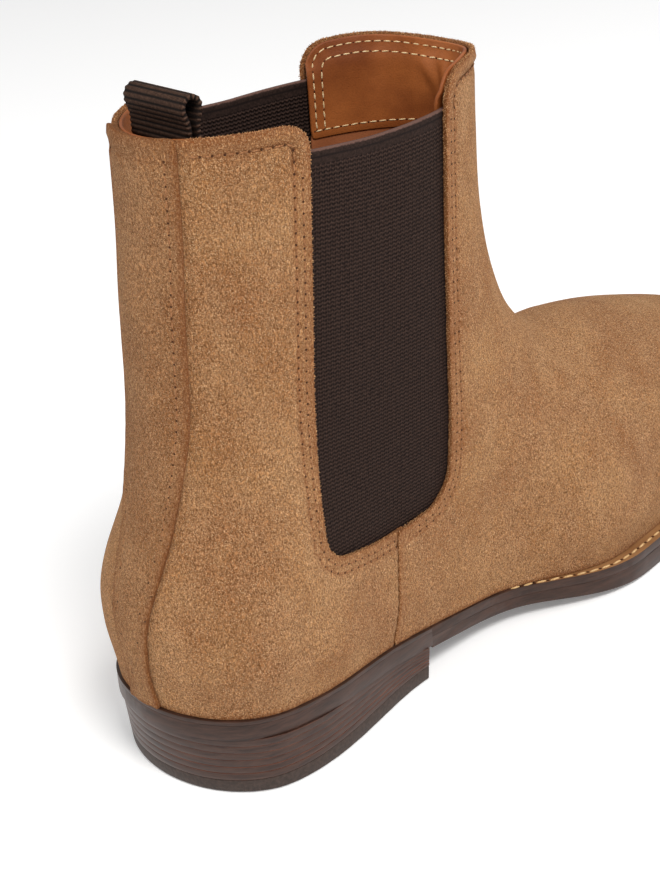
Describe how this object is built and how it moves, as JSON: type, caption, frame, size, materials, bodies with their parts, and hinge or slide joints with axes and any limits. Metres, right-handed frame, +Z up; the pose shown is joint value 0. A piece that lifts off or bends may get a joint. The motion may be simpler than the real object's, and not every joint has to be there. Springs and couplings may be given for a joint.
{
  "type": "chelsea boot",
  "caption": "Right suede chelsea boot: ankle-high shaft with elastic gore windows on both sides, webbing pull tab behind, leather sole with close waist and low stacked block heel",
  "frame": {"origin": "bottom centre of the bounding box, on the floor the boot stands on", "axes": "+X toe direction, +Y inner side of a right boot, +Z up the shaft"},
  "size_m": [0.294, 0.0839, 0.1814],
  "materials": {
    "suede": "rough",
    "elastic": "rough",
    "lining_leather": "satin",
    "facing_leather": "satin",
    "webbing": "rough",
    "sole_leather": "satin",
    "welt_leather": "satin",
    "heel_leather": "satin",
    "heel_rubber": "matte",
    "cork": "matte",
    "insole_leather": "satin",
    "stiffener": "matte",
    "steel": "brushed"
  },
  "bodies": {
    "boot": {"vamp": "suede", "quarter_outer": "suede", "quarter_inner": "suede", "back_strip": "suede", "gore_outer": "elastic", "gore_inner": "elastic", "vamp_lining": "lining_leather", "quarter_lining": "lining_leather", "back_facing": "facing_leather", "pull_tab_ends": "webbing", "outsole": "sole_leather", "welt": "welt_leather", "heel_rand": "welt_leather", "heel_lift_1": "heel_leather", "heel_lift_2": "heel_leather", "heel_lift_3": "heel_leather", "heel_lift_4": "heel_leather", "heel_lift_5": "heel_leather", "heel_lift_6": "heel_leather", "heel_top_piece": "heel_rubber", "heel_nails": "steel", "shank": "steel", "shank_bed": "cork", "cork_filler": "cork", "insole_board": "insole_leather", "sock_liner": "lining_leather", "heel_counter": "stiffener", "toe_puff": "stiffener"},
    "shaft_front": {"front_shaft": "suede", "front_shaft_lining": "lining_leather", "front_facing": "facing_leather"},
    "tab": {"pull_tab_loop": "webbing"}
  },
  "joints": [
    {"name": "shaft_opening_hinge", "type": "hinge", "parent": "boot", "child": "shaft_front", "pos_m": [-0.00205, 0, 0.09131], "axis": [0, 1, 0], "range_deg": [0, 12], "stiffness_Nm_per_rad": 2, "deforming": ["gore_outer", "gore_inner"]},
    {"name": "pull_tab_hinge", "type": "hinge", "parent": "boot", "child": "tab", "pos_m": [-0.11695, -0.00572, 0.17441], "axis": [0, 1, 0], "range_deg": [-50, 40], "stiffness_Nm_per_rad": 0.01}
  ]
}
